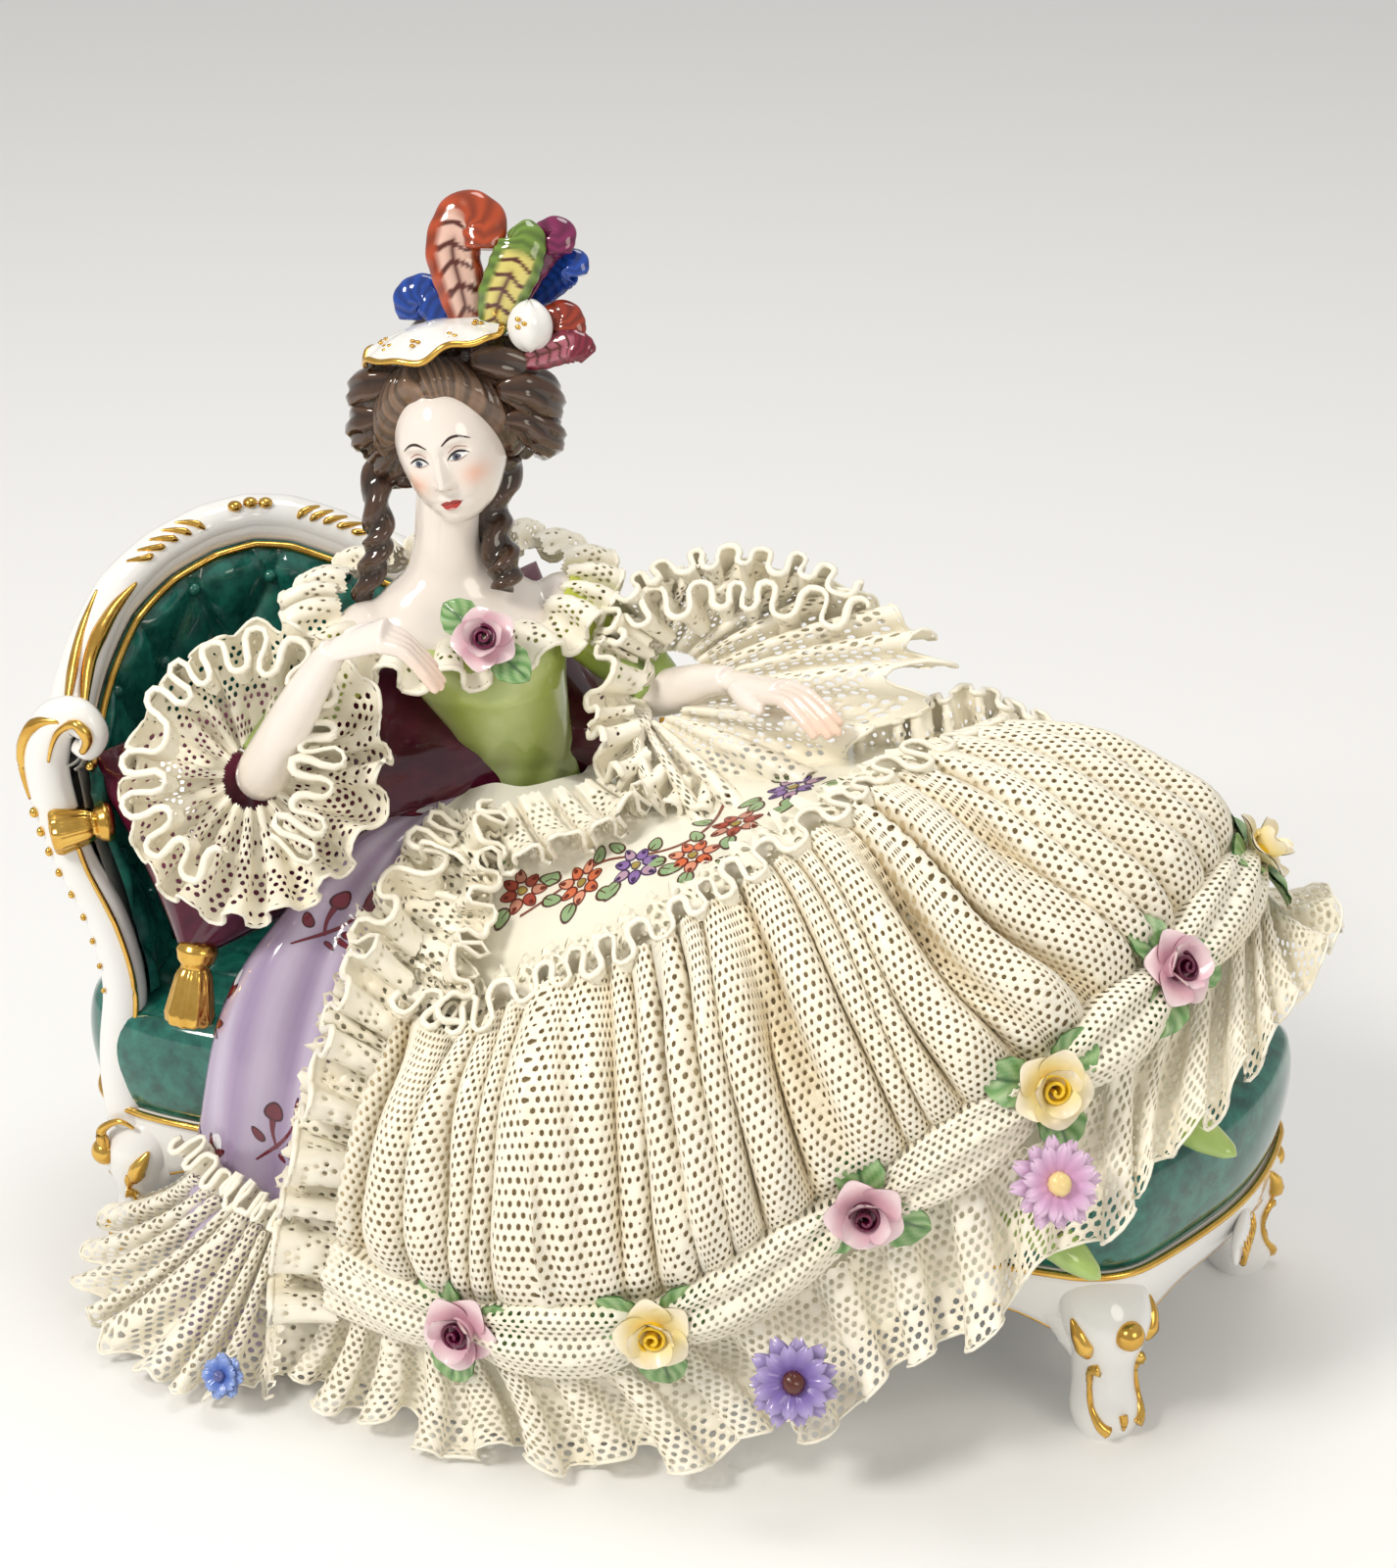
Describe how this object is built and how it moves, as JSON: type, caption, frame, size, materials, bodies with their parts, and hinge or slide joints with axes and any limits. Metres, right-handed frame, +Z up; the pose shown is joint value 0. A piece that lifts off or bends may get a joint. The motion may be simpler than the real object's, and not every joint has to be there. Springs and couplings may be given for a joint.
{
  "type": "dresden lace figurine",
  "caption": "Glazed porcelain lady in a ruffled net gown with applied flowers, reclining on a gilded chaise longue.",
  "frame": {"origin": "middle of the bounding box, on the plane that the four feet rest on", "axes": "+X along the chaise towards its foot end, -Y the front, +Z up"},
  "size_m": [0.251, 0.1336, 0.2171],
  "materials": {
    "chaise_glaze": "white glaze with gilding and mottled emerald upholstery",
    "pillow_glaze": "glossy maroon glaze",
    "figure_glaze": "hand-painted glaze",
    "hat_glaze": "hand-painted glaze",
    "gown_glaze": "pearly lilac and cream glaze",
    "slipper_glaze": "glossy lime glaze",
    "lace": "porcelain-dipped ivory net",
    "pink_petals": "satin glaze",
    "yellow_petals": "satin glaze",
    "blue_petals": "satin glaze",
    "purple_petals": "satin glaze"
  },
  "bodies": {
    "root": {"chaise": "chaise_glaze", "pillow": "pillow_glaze", "lady": "figure_glaze", "plumed_hat": "hat_glaze", "gown": "gown_glaze", "right_slipper": "slipper_glaze", "left_slipper": "slipper_glaze", "net_skirt": "lace", "ribbon_band": "lace", "hem_ruffle": "lace", "heading_ruffle": "lace", "side_ruffle": "lace", "train_ruffle": "lace", "waist_ruffle": "lace", "lap_frill": "lace", "neckline_ruffle": "lace", "left_sleeve_ruffle": "lace", "right_sleeve_ruffle": "lace", "rose_1": "pink_petals", "rose_2": "yellow_petals", "rose_3": "pink_petals", "rose_4": "yellow_petals", "rose_5": "pink_petals", "rose_6": "yellow_petals", "bodice_rose": "pink_petals", "blue_daisy": "blue_petals", "purple_daisy": "purple_petals", "lilac_daisy": "purple_petals"}
  },
  "joints": []
}
